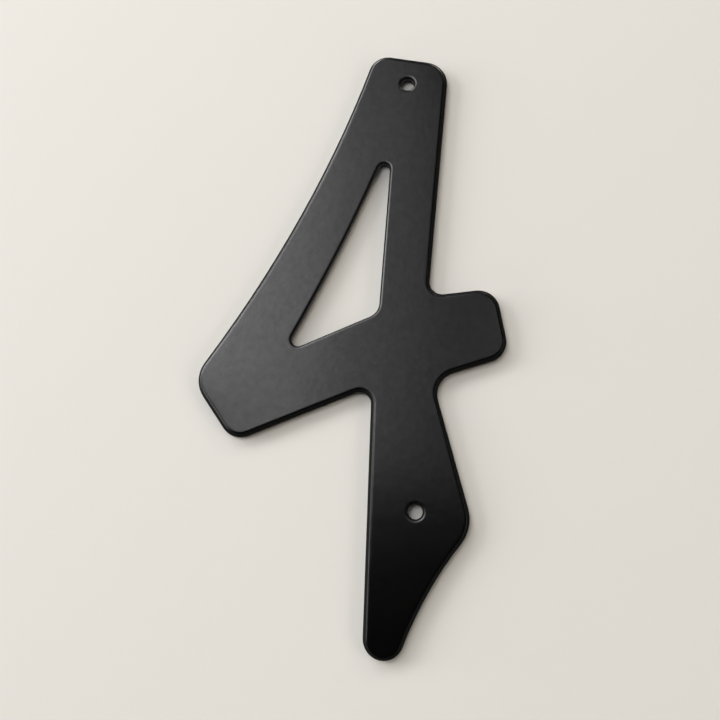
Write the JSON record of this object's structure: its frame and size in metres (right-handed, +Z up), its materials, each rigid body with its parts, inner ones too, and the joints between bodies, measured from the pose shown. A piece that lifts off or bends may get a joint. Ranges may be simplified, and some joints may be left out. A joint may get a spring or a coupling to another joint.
{
  "type": "house number sign",
  "caption": "House number sign: a flat plate in the shape of the numeral 4, with soft front edges, a triangular opening and plain screw holes.",
  "frame": {"origin": "on the back face, midway between the two screw holes", "axes": "+X to the right as the numeral is read, +Y into the wall, +Z up through both screw holes"},
  "size_m": [0.0997, 0.0027, 0.2004],
  "materials": {
    "black_powder_coat": "satin black powder coat"
  },
  "bodies": {
    "root": {"number_plate": "black_powder_coat"}
  },
  "joints": []
}
